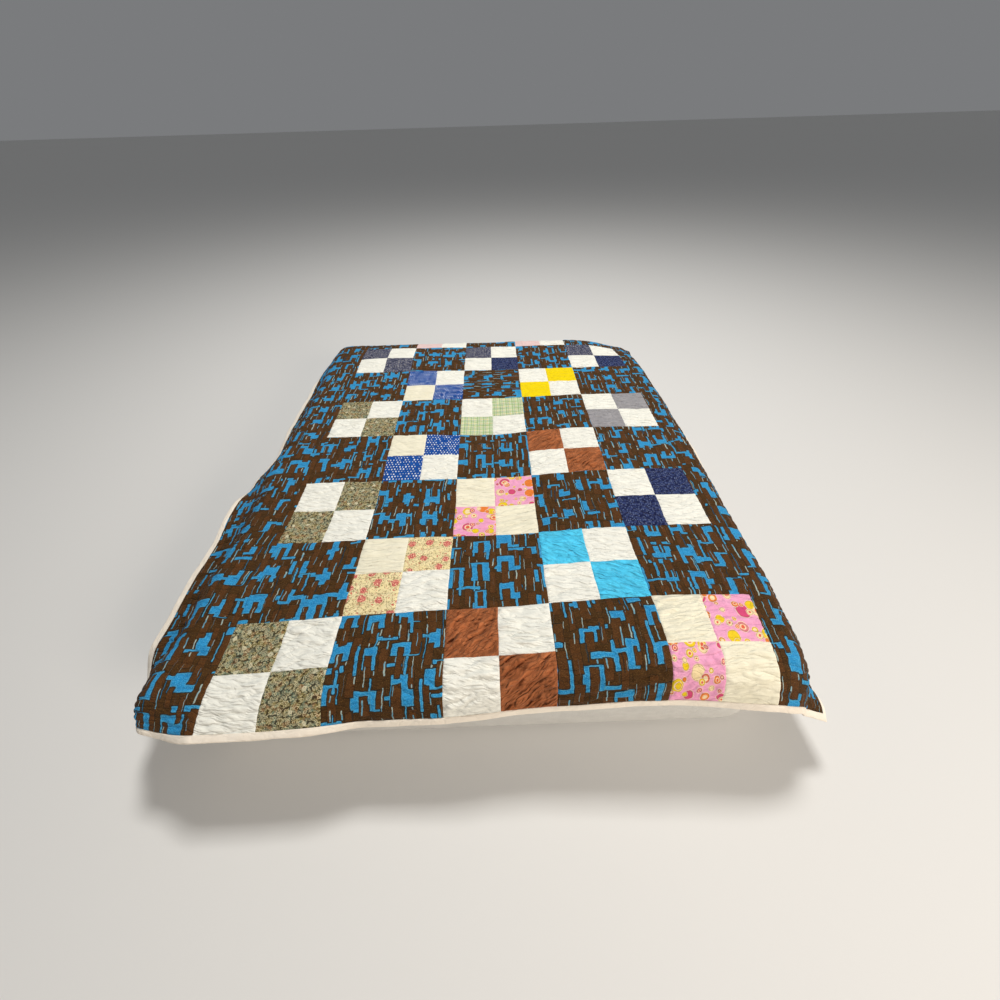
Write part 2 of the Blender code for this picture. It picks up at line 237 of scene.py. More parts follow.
def drape(u, v):
    """The middle of the quilt's thickness at patch coordinates (u, v), as x, y, z in the row frame."""
    u, v = np.broadcast_arrays(np.asarray(u, float), np.asarray(v, float))
    left, right = np.maximum(LEFT_FALL - u, 0.0), np.maximum(u - RIGHT_FALL, 0.0)
    foot, head = np.maximum(FOOT_FALL - v, 0.0), np.maximum(v - HEAD_FALL, 0.0)
    hang_left, dip, hang_right, flare_left, flare_right = (along(SIDE_HANG, v, n) for n in range(1, 6))
    hang_foot, hang_head = (along(END_HANG, u, n) for n in (1, 2))

    def left_slope(s):
        dipping = dip * np.exp(-(((s - DIP_PLACE) / DIP_REACH) ** 2))
        return hang_left * ease(s / SIDE_BEND) + dipping - flare_left * ease((s - LEFT_RIM) / RIM_BEND)

    def right_slope(s):
        return hang_right * ease(s / SIDE_BEND) - flare_right * ease((s - RIGHT_RIM) / RIM_BEND)

    out_left, down_left = walk(left, left_slope)
    out_right, down_right = walk(right, right_slope)
    out_foot, down_foot = walk(foot, lambda s: hang_foot * ease(s / END_BEND))
    out_head, down_head = walk(head, lambda s: hang_head * ease(s / END_BEND))

    swell = 0.0
    for at_u, at_v, reach_u, reach_v, rise in SWELLS:
        swell = swell + rise * np.exp(-(((u - at_u) / reach_u) ** 2) - ((v - at_v) / reach_v) ** 2)
    x = np.clip(u, LEFT_FALL, RIGHT_FALL) - out_left + out_right
    y = np.clip(v, FOOT_FALL, HEAD_FALL) - out_foot + out_head
    z = swell - down_left - down_right - down_foot - down_head
    x = x - LEFT_DRIFT * ease((4.0 - u) / 5.0) * ease((6.5 - v) / 6.0)
    x = x - RIGHT_DRIFT * ease((u - 7.0) / 3.0) * ease((3.0 - v) / 2.0)
    for on_right, at_head, across, lengthwise, up in CORNER_FLARES:
        side = right if on_right else left
        end = head if at_head else foot
        share = ease(side / FLARE_SIDE) * ease(end / FLARE_END)
        x, y, z = x + across * share, y + lengthwise * share, z + up * share
    rest = MATTRESS_TALL + REST_GAP + QUILT_THICK / 2
    return np.stack([x * PATCH, y * PATCH, z * PATCH + rest], axis=-1) + SHIFT


def random_at(i, j, seed):
    """A fixed number from 0 to 1 for each pair of whole numbers."""
    n = np.sin(i * 12.9898 + j * 78.233 + seed * 37.719) * 43758.5453
    return n - np.floor(n)


def noise(x, y, seed):
    """Smooth noise, about -1 to 1, with hills about one unit across."""
    i, j = np.floor(x), np.floor(y)
    total = 0.0
    for step_i in (0, 1):
        for step_j in (0, 1):
            dx, dy = x - i - step_i, y - j - step_j
            angle = 2 * np.pi * random_at(i + step_i, j + step_j, seed)
            total = total + (np.cos(angle) * dx + np.sin(angle) * dy) * ease(1 - abs(dx)) * ease(1 - abs(dy))
    return total * 1.6


def sway(u, v):
    """Slow waves of the whole quilt, in millimetres, larger where it hangs."""
    hanging = np.maximum(ease((LEFT_FALL - u) / 1.2), ease((u - RIGHT_FALL) / 1.2))
    hanging = np.maximum(hanging, np.maximum(ease((FOOT_FALL - v) / 1.2), ease((v - HEAD_FALL) / 1.2)))
    slow = noise(u / 1.5, v / 1.3, 11) + 0.5 * noise(u / 0.7, v / 0.6, 12)
    return slow * (1.1 + 2.6 * hanging)


def quilting(u, v):
    """The phase of the quilting lines: each whole number is one line of stitches."""
    x, y = u * PATCH_MM, v * PATCH_MM
    phase = y / LINE_SPACING + 1.5 * noise(x / 210, y / 210, 21) + 0.35 * noise(x / 70, y / 70, 22)
    for at_u, at_v, reach, turns in SWIRLS:
        phase = phase + turns * np.exp(-((u - at_u) ** 2 + (v - at_v) ** 2) / reach**2)
    return phase


def stitching(u, v):
    """For the stitches: the phase of the lines, and how far they run lengthwise instead of across."""
    reach = 0.02
    phase = quilting(u, v)
    across = abs(quilting(u + reach, v) - phase)
    lengthwise = abs(quilting(u, v + reach) - phase)
    return np.stack([phase, across / (across + lengthwise + 1e-6)], axis=-1)


def billow(x, y, seed):
    """Soft puffs with narrow valleys between them, from 0 to about 1."""
    return np.minimum(abs(noise(x, y, seed)) * 1.7, 1.2)


def puckers(u, v):
    """Height of the puckers that quilting gives the whole top, in millimetres."""
    x, y = u * PATCH_MM, v * PATCH_MM
    phase = quilting(u, v)
    from_line = abs(phase - np.round(phase)) * LINE_SPACING
    puff = 1.0 * (1 - np.exp(-((from_line / 6.0) ** 2))) - 0.4 * np.exp(-((from_line / 3.0) ** 2))
    bend = 9.0 * noise(x / 60, y / 60, 31)
    gather = billow((x + bend) / 17, phase * LINE_SPACING / 30, 32) * np.exp(-from_line / 9.0)
    return PUFF_DEPTH * puff + GATHER_DEPTH * gather


def piece_crinkle(u, v, centre, fabric, seed):
    """The wrinkles of one sewn piece, in its own direction, in millimetres."""
    strength, angle, stretch = CRINKLE[fabric]
    angle = math.radians(angle + 24 * (random_at(centre[0], centre[1], 5) - 0.5))
    x = (u - centre[0]) * PATCH_MM
    y = (v - centre[1]) * PATCH_MM
    across = x * math.cos(angle) + y * math.sin(angle)
    upright = y * math.cos(angle) - x * math.sin(angle)
    upright = upright + 7.0 * noise(across / 45, upright / 45, seed)
    across = across + 6.0 * noise(x / 30, y / 30, seed + 1)
    long_folds = billow(across / (44 * stretch), upright / 15.0, seed + 2)
    short_folds = billow(across / (24 * stretch), upright / 11.0, seed + 3)
    patchy = 0.55 + 0.6 * ease(0.5 + noise(x / 55, y / 55, seed + 4))
    strength = strength * (0.85 + 0.55 * ease((3.5 - v) / 2.5))
    return CRINKLE_DEPTH * strength * patchy * (1.15 * long_folds + 0.45 * short_folds - 0.7)


def seam_shape(u, v, to_side, to_end, ridge):
    """Height near the seams of a piece, in millimetres: ditch, small gathers, and the allowance below."""
    nearest = np.minimum(to_side, to_end)
    gathers = noise(v * PATCH_MM / 6.5, 0.5, 41) * np.exp(-to_side / 9.0)
    gathers = gathers + noise(u * PATCH_MM / 6.5, 0.5, 42) * np.exp(-to_end / 9.0)
    allowance = SEAM_ALLOWANCE * ridge * ease(nearest / 1.5) * ease((8.0 - nearest) / 2.0)
    ditch = SEAM_DITCH * np.exp(-((nearest / 1.5) ** 2)) + 0.5 * np.exp(-((nearest / 6.0) ** 2))
    return 0.35 * gathers * ease(nearest / 3.0) + allowance - ditch


def normals_at(u, v, points):
    """Unit normals of the draped cloth."""
    reach = 0.01
    across = drape(u + reach, v) - points
    lengthwise = drape(u, v + reach) - points
    normals = np.cross(across, lengthwise)
    return normals / np.linalg.norm(normals, axis=-1, keepdims=True)


# ---- meshes
def add_object(name, data):
    made = bpy.data.objects.new(name, data)
    bpy.context.scene.collection.objects.link(made)
    return made


class Cloth:
    """Collects grids of points into one mesh, with their coordinates on the cloth and for baking."""

    def __init__(self, name):
        self.name = name
        self.count = 0
        self.points, self.quads, self.cloth, self.stitch, self.bake = [], [], [], [], []

    def add_grid(self, points, cloth, bake, stitch=None, closed=(False, False)):
        """A grid of points. cloth is in metres for each point, and bake is for each corner of each quad."""
        rows, columns = points.shape[:2]
        index = np.arange(rows * columns).reshape(rows, columns)
        if closed[0]:
            index = np.vstack([index, index[:1]])
        if closed[1]:
            index = np.hstack([index, index[:, :1]])
        quads = np.stack([index[:-1, :-1], index[1:, :-1], index[1:, 1:], index[:-1, 1:]], axis=-1)
        self.points.append(points.reshape(-1, 3))
        self.quads.append(quads.reshape(-1, 4) + self.count)
        self.cloth.append(corners_of(cloth))
        self.stitch.append(corners_of(np.full_like(cloth, 0.5) if stitch is None else stitch))
        self.bake.append(bake)
        self.count += rows * columns

    def finish(self, material):
        points = np.concatenate(self.points).astype(np.float32)
        quads = np.concatenate(self.quads).astype(np.int32)
        mesh = bpy.data.meshes.new(self.name)
        mesh.vertices.add(len(points))
        mesh.vertices.foreach_set("co", points.ravel())
        mesh.loops.add(quads.size)
        mesh.loops.foreach_set("vertex_index", quads.ravel())
        mesh.polygons.add(len(quads))
        mesh.polygons.foreach_set("loop_start", np.arange(0, quads.size, 4, dtype=np.int32))
        mesh.update(calc_edges=True)
        for layer, values in (("cloth", self.cloth), ("stitch", self.stitch), ("OFBake", self.bake)):
            uv = mesh.uv_layers.new(name=layer)
            uv.data.foreach_set("uv", np.concatenate(values).astype(np.float32).ravel())
        mesh.shade_smooth()
        mesh.materials.append(material)
        return add_object(self.name, mesh)


def walked_to(rows):
    """How far along a line of points each one lies, or each ring of a stack of rings on the average."""
    steps = np.linalg.norm(np.diff(rows, axis=0), axis=-1)
    return np.append(0.0, np.cumsum(steps.reshape(len(steps), -1).mean(axis=1)))


def corners_of(grid):
    """Values on a grid of points as values at each quad's four corners, in the quads' own order."""
    stack = [grid[:-1, :-1], grid[1:, :-1], grid[1:, 1:], grid[:-1, 1:]]
    return np.stack(stack, axis=2).reshape(-1, grid.shape[-1])


def tiled(grid, first, size, count):
    """Places quads of tiles in a square atlas. grid holds patch coordinates and size is a tile's side."""
    corners = corners_of(grid).reshape(-1, 4, 2)
    middle = corners.mean(axis=1)
    start = grid[0, 0]
    across = int(round((grid[-1, 0, 0] - grid[0, 0, 0]) / size)) or 1
    tile = np.clip(np.floor((middle - start) / size), 0, np.round((grid[-1, -1] - start) / size) - 1)
    number = first + tile[:, 0] + tile[:, 1] * across
    side = math.ceil(math.sqrt(count))
    local = BAKE_MARGIN + (1 - 2 * BAKE_MARGIN) * (corners - start - tile[:, None, :] * size) / size
    place = np.stack([number % side, number // side], axis=-1)[:, None, :]
    return ((place + np.clip(local, 0.0, 1.0)) / side).reshape(-1, 2)


def seam_lines(start, end):
    """Grid lines between two seams, finer beside each, in patches."""
    count = int(round(abs(end - start) * STEPS)) - 2 * len(FINE_STEPS)
    inner = np.linspace(FINE_STEPS[-1], (end - start) - FINE_STEPS[-1], count + 1)
    fine = np.array((0.0,) + FINE_STEPS[:-1])
    return start + np.concatenate([fine, inner, (end - start) - fine[::-1]])


def panel_lines(start, end, seams):
    """Grid lines of a panel, which goes on a little under the binding at an end that has no seam."""
    before = [] if seams[0] else [start - TUCK, start - TUCK / 2]
    after = [] if seams[1] else [end + TUCK / 2, end + TUCK]
    return np.concatenate([before, seam_lines(start, end), after])


def edge_distance(u, v):
    """How far a place on the top is inside the binding's inner edge, in patches."""
    return np.minimum(np.minimum(u - FIRST_U, LAST_U - u), np.minimum(v - FIRST_V, LAST_V - v))


def room_at_edge(u, v, least, growth):
    """How far from the quilt's middle a face may lie, in millimetres, so that the binding covers its rim."""
    to_edge = np.maximum(edge_distance(u, v), 0.0) * PATCH_MM
    return least + growth * to_edge**0.8


def top_height(u, v, box, fabric, seed):
    """How far a sewn piece's face lies above the middle of the quilt, in millimetres."""
    first_u, first_v, last_u, last_v = box
    centre = ((first_u + last_u) / 2, (first_v + last_v) / 2)
    to_side = abs(np.minimum(u - first_u, last_u - u)) * PATCH_MM
    to_end = abs(np.minimum(v - first_v, last_v - v)) * PATCH_MM
    inside = ease(np.minimum(to_side, to_end) / 12.0)
    ridge = 0.0 if fabric in ("white", "cream") else 1.0
    height = QUILT_THICK / MM / 2 - 0.5 + puckers(u, v)
    height = height + inside * piece_crinkle(u, v, centre, fabric, seed)
    height = height + seam_shape(u, v, to_side, to_end, ridge)
    sunk = np.minimum(height - SHALLOW, 0.0)
    height = height - sunk - LOWEST_VALLEY * (1.0 - np.exp(sunk / LOWEST_VALLEY))
    return np.minimum(height, room_at_edge(u, v, 2.3, 1.2))


def wobble(u, v):
    """Patch coordinates moved a little, because no seam is quite straight."""
    shift_u = 0.012 * noise(u / 0.45, v / 0.45, 51) + 0.010 * noise(u / 2.1, v / 2.1, 52)
    shift_v = 0.012 * noise(u / 0.45, v / 0.45, 53) + 0.010 * noise(u / 2.1, v / 2.1, 54)
    hold = ease(edge_distance(u, v) / 0.6)
    return u + shift_u * hold, v + shift_v * hold


def lift(u, v, height):
    """Places in the row frame at a height in millimetres above the middle of the cloth."""
    u, v = wobble(u, v)
    points = drape(u, v)
    return points + normals_at(u, v, points) * ((height + sway(u, v)) * MM)[..., None]


def cut_from(u, v, number, turned):
    """Coordinates on the printed cloth, in metres, of a piece that was cut from its own place on it."""
    x = u * PATCH + 0.37 * number
    y = v * PATCH + 0.53 * number
    return np.stack([y, x] if turned else [x, y], axis=-1)


def add_panel(cloth, box, fabric, number, first_tile, tiles):
    """One sewn piece of the top: its box is first u, first v, last u, last v."""
    first_u, first_v, last_u, last_v = box
    lines_u = panel_lines(first_u, last_u, (first_u > FIRST_U, last_u < LAST_U))
    lines_v = panel_lines(first_v, last_v, (first_v > FIRST_V, last_v < LAST_V))
    u, v = np.meshgrid(lines_u, lines_v, indexing="ij")
    height = top_height(u, v, box, fabric, 100 + number)
    grid = np.stack([np.clip(u, first_u, last_u), np.clip(v, first_v, last_v)], axis=-1)
    bake = tiled(grid, first_tile, tile_size(box), tiles)
    turned = (first_u, first_v) == TURNED_BLOCK
    cloth.add_grid(lift(u, v, height), cut_from(u, v, number, turned), bake, stitching(u, v))


def tile_size(box):
    """The side of a bake tile on a panel, in patches."""
    return min(box[2] - box[0], 2)


def patches_in(box):
    return (box[2] - box[0]) * (box[3] - box[1])


def add_sheet(name, boxes, fabric, material):
    """One mesh for all the pieces cut from one fabric."""
    cloth = Cloth(name)
    counts = [patches_in(box) // tile_size(box) ** 2 for box in boxes]
    for number, box in enumerate(boxes):
        add_panel(cloth, box, fabric, number + len(name), sum(counts[:number]), sum(counts))
    return cloth.finish(material)


def add_backing(material):
    """The plain cloth under the quilt, puckered by the same lines of stitches."""
    cloth = Cloth("backing")
    reach = RIM * 0.75
    lines_u = np.linspace(FIRST_U - reach, LAST_U + reach, (LAST_U - FIRST_U) * BACKING_STEPS + 1)
    lines_v = np.linspace(FIRST_V - reach, LAST_V + reach, (LAST_V - FIRST_V) * BACKING_STEPS + 1)
    u, v = np.meshgrid(lines_u, lines_v[::-1], indexing="ij")
    height = np.maximum(-QUILT_THICK / MM / 2 - 0.1 + 0.6 * (0.9 - puckers(u, v)), -3.4)
    height = np.maximum(height, -room_at_edge(u, v, 2.2, 0.8))
    place = np.stack([u * PATCH, v * PATCH], axis=-1)
    span = (LAST_V - FIRST_V + 2 * reach) * PATCH
    bake = corners_of((place - [FIRST_U * PATCH, FIRST_V * PATCH] + reach * PATCH) / span)
    cloth.add_grid(lift(u, v, height), place, bake, stitching(u, v))
    return cloth.finish(material)


def binding_stations():
    """Places round the quilt's edge, counter-clockwise from above.

    Each is the u and v of its inner edge, and the way across it in patches for each millimetre.
    """
    mitre = 2 * RIM
    rows = []
    for side in range(4):
        across = side in (0, 2)
        low, high = (FIRST_U, LAST_U) if across else (FIRST_V, LAST_V)
        count = int(round((high - low) / BINDING_STEP))
        place = np.linspace(low, high, count + 1)[:-1]
        if side in (2, 3):
            place = high + low - place
        slant = np.clip(1 - (high - place) / mitre, 0, 1) - np.clip(1 - (place - low) / mitre, 0, 1)
        fixed = {0: FIRST_V, 1: LAST_U, 2: LAST_V, 3: FIRST_U}[side]
        outward = -1.0 if side in (0, 3) else 1.0
        edge = np.full_like(place, fixed)
        out = np.full_like(place, outward)
        rows.append(np.stack([place, edge, slant, out] if across else [edge, place, out, slant], axis=-1))
    return np.concatenate(rows) / [1.0, 1.0, PATCH_MM, PATCH_MM]


def add_binding(material):
    """A folded strip that wraps the edge, with mitred corners and small puckers along its stitches."""
    stations = binding_stations()
    count = len(stations)
    walked = walked_to(stations[:, :2]) * PATCH_MM
    u, v, out_u, out_v = (stations[:, column, None] for column in range(4))
    width = BINDING_WIDTH / MM
    turns = np.radians(np.linspace(90, -90, 9))
    outer = [(0.3, 2.2), (1.2, 3.3), (3.5, 3.9), (8.0, 4.1), (13.0, 3.9)]
    outer += [(width - 3.2 + 4.0 * math.cos(t), 3.7 * math.sin(t)) for t in turns]
    outer += [(13.0, -3.7), (8.0, -3.9), (3.5, -3.8), (1.2, -3.3), (0.3, -2.2)]
    inner = [(2.5, -1.9), (width - 3.5, -2.2), (width - 1.5, 0.0), (width - 3.5, 2.2), (2.5, 1.9)]
    profile = np.array(outer + inner)
    across, rise = profile[None, :, 0], profile[None, :, 1]
    ripple = 0.55 * noise(walked[:, None] / 11.0, rise / 5.0, 61)
    ripple = ripple + 0.5 * noise(walked[:, None] / 34.0, 0.5, 62)
    near_stitches = np.exp(-across / 6.0)
    wavy = across + (0.8 * noise(walked[:, None] / 40.0, 0.5, 63) * (across > 2)) - 0.3 * near_stitches
    height = rise * (1 + 0.09 * ripple) + 0.35 * ripple * near_stitches * np.sign(rise)
    points = lift(u + out_u * wavy, v + out_v * wavy, height)
    loop = np.append(walked, walked[-1] + BINDING_STEP * PATCH_MM)
    girth = walked_to(np.vstack([profile, profile[:1]]))
    cloth_place = np.stack(np.meshgrid(loop * MM, girth * MM, indexing="ij"), axis=-1)
    # For baking, the strip is cut into rows that lie one above the other.
    strips = 16
    in_strip = count // strips + 1
    row, step = np.divmod(np.arange(count + 1), in_strip)
    place = np.stack(np.meshgrid(step / in_strip, girth / girth[-1], indexing="ij"), axis=-1)
    place[..., 1] = (row[:, None] + 0.05 + 0.9 * place[..., 1]) / strips
    bake = corners_of(place).reshape(count, -1, 4, 2)
    row_ends = step[1:] == 0
    bake[row_ends, :, 1:3, 0] = 1.0
    bake[row_ends, :, 1:3, 1] = bake[row_ends][:, :, [0, 3], 1]
    cloth = Cloth("binding_strip")
    cloth.add_grid(points[:, ::-1], cloth_place[:, ::-1], bake.reshape(-1, 2), closed=(True, True))
    return cloth.finish(material)


def corner_loop(left, right, foot, head, radius):
    """Points round a rectangle with round corners, counter-clockwise from above."""
    arcs = []
    for centre_x, centre_y, start in (
        (left + radius, foot + radius, 180),
        (right - radius, foot + radius, 270),
        (right - radius, head - radius, 0),
        (left + radius, head - radius, 90),
    ):
        turn = np.radians(start + np.linspace(0, 90, 13))
        arcs.append(np.stack([centre_x + radius * np.cos(turn), centre_y + radius * np.sin(turn)], axis=-1))
    whole = []
    for arc, following in zip(arcs, arcs[1:] + arcs[:1]):
        whole += [arc, np.linspace(arc[-1], following[0], 42)[1:-1]]
    return np.concatenate(whole)


def add_mattress(material):
    """The mattress's cover: its top follows the cloth, and its sides are a little hollow."""
    cloth = Cloth("mattress_cover")
    top = corner_loop(LEFT_FALL, RIGHT_FALL, FOOT_FALL, HEAD_FALL, 0.25)
    wall = corner_loop(MATTRESS_LEFT, MATTRESS_RIGHT, MATTRESS_FOOT, MATTRESS_HEAD, PLAN_CORNER)
    middle_u = (LEFT_FALL + RIGHT_FALL) / 2
    half = (RIGHT_FALL - LEFT_FALL) / 2
    spine_v = np.clip(top[:, 1], FOOT_FALL + half, HEAD_FALL - half)
    spine = np.column_stack([np.full(len(top), middle_u), spine_v])
    lower = [0.0, 0.0, QUILT_THICK / 2 + REST_GAP + COVER_GAP]
    rings = []

    def add_ring(plan, height):
        rings.append(np.column_stack([plan, np.full(len(plan), height)]))

    for share in np.linspace(0.0, 1.0, 25):
        place = spine + (top - spine) * share
        rings.append(drape(place[:, 0], place[:, 1]) - lower)
    edge_xy, edge_z = rings[-1][:, :2], rings[-1][:, 2]
    wall_xy = wall * PATCH + SHIFT[:2]
    for turn in np.radians(np.linspace(0, 90, 9)[1:]):
        drop = EDGE_DROP * PATCH * (1 - math.cos(turn))
        add_ring(edge_xy + (wall_xy - edge_xy) * math.sin(turn), edge_z - drop)
    inward = np.sign(wall_xy.mean(axis=0) - wall_xy)
    shoulder, round_foot = rings[-1][:, 2], FOOT_ROUND * PATCH
    for share in np.linspace(0.0, 1.0, 15)[1:]:
        hollow = SIDE_HOLLOW * math.sin(math.pi * share)
        add_ring(wall_xy + inward * hollow, shoulder + (round_foot - shoulder) * share)
    for turn in np.radians(np.linspace(0, 90, 6)[1:]):
        plan = wall_xy + inward * round_foot * (1 - math.cos(turn))
        add_ring(plan, round_foot * (1 - math.sin(turn)))
    sole = rings[-1][:, :2]
    spine_xy = spine * PATCH + SHIFT[:2]
    for share in np.linspace(1.0, 0.0, 9)[1:]:
        add_ring(spine_xy + (sole - spine_xy) * share, 0.0)
    points = np.stack(rings)
    down = walked_to(points)
    walked = walked_to(np.concatenate([wall_xy, wall_xy[:1]]))
    place = np.stack(np.meshgrid(down, walked, indexing="ij"), axis=-1)[..., ::-1]
    span = max(down[-1], walked[-1])
    bake = corners_of(place / span)
    cloth.add_grid(points, place, bake, closed=(False, True))
    made = cloth.finish(material)
    mesh = bmesh.new()
    mesh.from_mesh(made.data)
    bmesh.ops.remove_doubles(mesh, verts=mesh.verts, dist=0.00001)
    bmesh.ops.recalc_face_normals(mesh, faces=mesh.faces)
    mesh.to_mesh(made.data)
    mesh.free()
    return made


# ---- materials
def linear(*channels):
    """A colour given as 0 to 255 in sRGB, as the shader wants it."""
    values = [((c / 255 + 0.055) / 1.055) ** 2.4 if c > 10 else c / 255 / 12.92 for c in channels]
    return (*values, 1.0)


def math_method(operation):
    """A method of Term that adds a Math node."""

    def method(self, *others):
        return self.paint.math(operation, self, *others)

    return method


class Term:
    """The output of a shader node, with arithmetic that adds Math nodes."""

    __add__ = math_method("ADD")
    __sub__ = math_method("SUBTRACT")
    __mul__ = math_method("MULTIPLY")
    __truediv__ = math_method("DIVIDE")
    __abs__ = math_method("ABSOLUTE")
    floor = math_method("FLOOR")
    sin = math_method("SINE")
    least = math_method("MINIMUM")
    most = math_method("MAXIMUM")

    def __init__(self, paint, socket):
        self.paint, self.socket = paint, socket

    def middle(self):
        """The distance from the nearest whole number."""
        return abs(self - (self + 0.5).floor())

    def above(self, edge, soft):
        """0 below an edge and 1 above it, with a soft step between."""
        return self.paint.step(self, edge - soft, edge + soft)

    def below(self, edge, soft):
        """1 below an edge and 0 above it, with a soft step between."""
        return self.paint.step(self, edge + soft, edge - soft)


class Paint:
    """One cotton's material: its nodes, and its coordinates on the cloth in millimetres."""

    def __init__(self, name):
        self.material = bpy.data.materials.new(name)
        self.material.use_nodes = True
        self.tree = self.material.node_tree
        self.shader = self.tree.nodes["Principled BSDF"]
        self.x, self.y = (value / MM for value in self.layer("cloth"))

    def node(self, kind, *values, output=0, **settings):
        """A node with its first sockets set or linked, as the term of one of its outputs."""
        node = self.tree.nodes.new(kind)
        for name, value in settings.items():
            setattr(node, name, value)
        for socket, value in zip(node.inputs, values):
            self.put(value, socket)
        return Term(self, node.outputs[output])

    def put(self, value, socket):
        if isinstance(value, Term):
            self.tree.links.new(value.socket, socket)
        elif value is not None:
            socket.default_value = value

    def split(self, value, kind="ShaderNodeSeparateXYZ"):
        node = self.node(kind, value).socket.node
        return [Term(self, output) for output in node.outputs[:3]]

    def layer(self, name):
        """The two coordinates of a UV layer."""
        return self.split(self.node("ShaderNodeUVMap", uv_map=name))[:2]

    def math(self, operation, *values):
        return self.node("ShaderNodeMath", *values, operation=operation)

    def step(self, value, low, high):
        """0 at low and 1 at high, smooth between."""
        return self.node("ShaderNodeMapRange", value, low, high, interpolation_type="SMOOTHSTEP")

    def mix(self, share, low, high):
        """A colour between two others, each a term or a tuple in sRGB."""
        mixed = self.node("ShaderNodeMix", data_type="RGBA", output=2)
        inputs = mixed.socket.node.inputs
        for value, socket in ((share, inputs[0]), (low, inputs[6]), (high, inputs[7])):
            self.put(linear(*value) if isinstance(value, tuple) else value, socket)
        return mixed

    def over(self, colour, *layers):
        """A colour with others laid over it, each as how much of it shows and its colour."""
        for share, tone in layers:
            colour = self.mix(share, colour, tone)
        return colour

    def spot(self, x, y, seed):
        return self.node("ShaderNodeCombineXYZ", x, y, seed)

    def noise(self, size, seed, detail=0.0, x=None, y=None):
        """Noise from 0 to 1 with features of a size in millimetres."""
        place = self.spot((x or self.x) / size, (y or self.y) / size, seed)
        return self.node("ShaderNodeTexNoise", place, None, 1.0, detail)

    def drift(self, size, seed, detail, reach):
        """Noise to both sides of 0, over a range of reach."""
        return (self.noise(size, seed, detail) - 0.5) * reach

    def random(self, x, y, seed):
        return self.node("ShaderNodeTexWhiteNoise", self.spot(x, y, seed))

    def cells(self, size, seed, x=None, y=None, randomness=1.0):
        """Scattered points: the distance to the nearest one in millimetres, and its three chances."""
        place = self.spot((x or self.x) / size, (y or self.y) / size, seed)
        near = self.node("ShaderNodeTexVoronoi", place, voronoi_dimensions="2D")
        node = near.socket.node
        node.inputs["Scale"].default_value = 1.0
        node.inputs["Randomness"].default_value = randomness
        return near * size, self.split(Term(self, node.outputs["Color"]), "ShaderNodeSeparateColor")

    def finish(self, colour, crease=1.0, swell=2.2, lean=0.0, stretch=1.0, stitch=(214, 196, 160)):
        """Adds stitches, weave, fine creases and the uneven tone of washed cotton, paints shade into the
        creases and quilting lines, paints light and shade over the puffs, and sets the shader.
        """
        phase, steep = self.layer("stitch")
        from_line = phase.middle() * LINE_SPACING
        dashes_x, dashes_y = (self.x / STITCH_STEP).middle(), (self.y / STITCH_STEP).middle()
        dashes = dashes_x + (dashes_y - dashes_x) * steep.above(0.5, 0.02)
        sewn = from_line.below(0.22, 0.15) * dashes.below(0.22, 0.05)
        colour = self.mix(sewn * 0.4, colour, stitch)

        weave = (self.x * (2 * math.pi / THREAD)).sin() * (self.y * (2 * math.pi / THREAD)).sin()
        slubs = self.noise(1.0, 3.0, x=self.x / 14.0, y=self.y / 0.9)
        turn = math.radians(lean)
        across = (self.x * math.cos(turn) + self.y * math.sin(turn)) / stretch
        upright = self.y * math.cos(turn) - self.x * math.sin(turn)
        upright = upright + self.noise(38.0, 15.0, 1.0) * 16.0
        folds = abs(self.noise(1.0, 5.0, 1.0, x=across / 34.0, y=upright / 15.0) - 0.5)
        wrinkles = abs(self.noise(1.0, 9.0, 1.0, x=across / 17.0, y=upright / 9.0) - 0.5)
        puffs = self.noise(1.0, 12.0, 1.0, x=across / 40.0, y=upright / 12.5)
        height = folds.least(0.10) * (10.0 * crease) + wrinkles.least(0.10) * (4.0 * crease)
        height = height + puffs * swell + from_line.least(2.6) * 0.36
        height = height + weave * 0.03 + slubs * 0.05 + sewn * 0.15
        bump = self.node("ShaderNodeBump")
        node = bump.socket.node
        for name, value in (("Strength", 1.0), ("Distance", MM), ("Height", height)):
            self.put(value, node.inputs[name])
        self.put(bump, self.shader.inputs["Normal"])

        # Painted shade: the colour is darker in the valleys of the folds and wrinkles and along the quilting
        # lines, where shade falls in the grooves.
        hollow = folds.below(0.02, 0.02) * (0.04 * crease) + wrinkles.below(0.015, 0.015) * (0.015 * crease)
        hollow = hollow + from_line.below(0.6, 0.6) * 0.05
        shade = self.noise(60.0, 7.0, 2.0) * 0.10 + slubs * 0.05 + weave * 0.02 + 0.93 - hollow
        # Painted light and shade: lighter on the tops of the bumped puffs and darker between them, as the
        # shading of the folds.
        shade = shade + (puffs - 0.5) * (swell * 0.05)
        toned = self.node("ShaderNodeVectorMath", colour, operation="SCALE")
        self.put(shade, toned.socket.node.inputs["Scale"])
        self.put(toned, self.shader.inputs["Base Color"])
        for name, value in (
            ("Roughness", 0.88),
            ("Sheen Weight", 0.03),
            ("Sheen Roughness", 0.5),
            ("Specular IOR Level", 0.12),
        ):
            self.shader.inputs[name].default_value = value
        return self.material


def plain(name, first, second, *settings):
    """A plain dyed cotton with a slow drift between two near tones."""
    paint = Paint(name)
    return paint.finish(paint.mix(paint.noise(38.0, 1.0, 2.0), first, second), *settings)


def bars(paint, x, y, cell, wide, tall, seed):
    """How far inside a scattered upright bar a place is, in millimetres.

    cell is the room of one bar. wide and tall are the ranges of half a bar as shares of its room.
    """
    column = (x / cell[0]).floor()
    shifted = y / cell[1] + paint.random(column, 0.5, seed)
    row = shifted.floor()
    across = abs(x / cell[0] - column - 0.5)
    up = abs(shifted - row - 0.5)
    half_wide = paint.random(column, row, seed + 1) * (wide[1] - wide[0]) + wide[0]
    half_tall = paint.random(column, row, seed + 2) * (tall[1] - tall[0]) + tall[0]
    return paint.math("SMOOTH_MIN", (half_wide - across) * cell[0], (half_tall - up) * cell[1], 4.0)


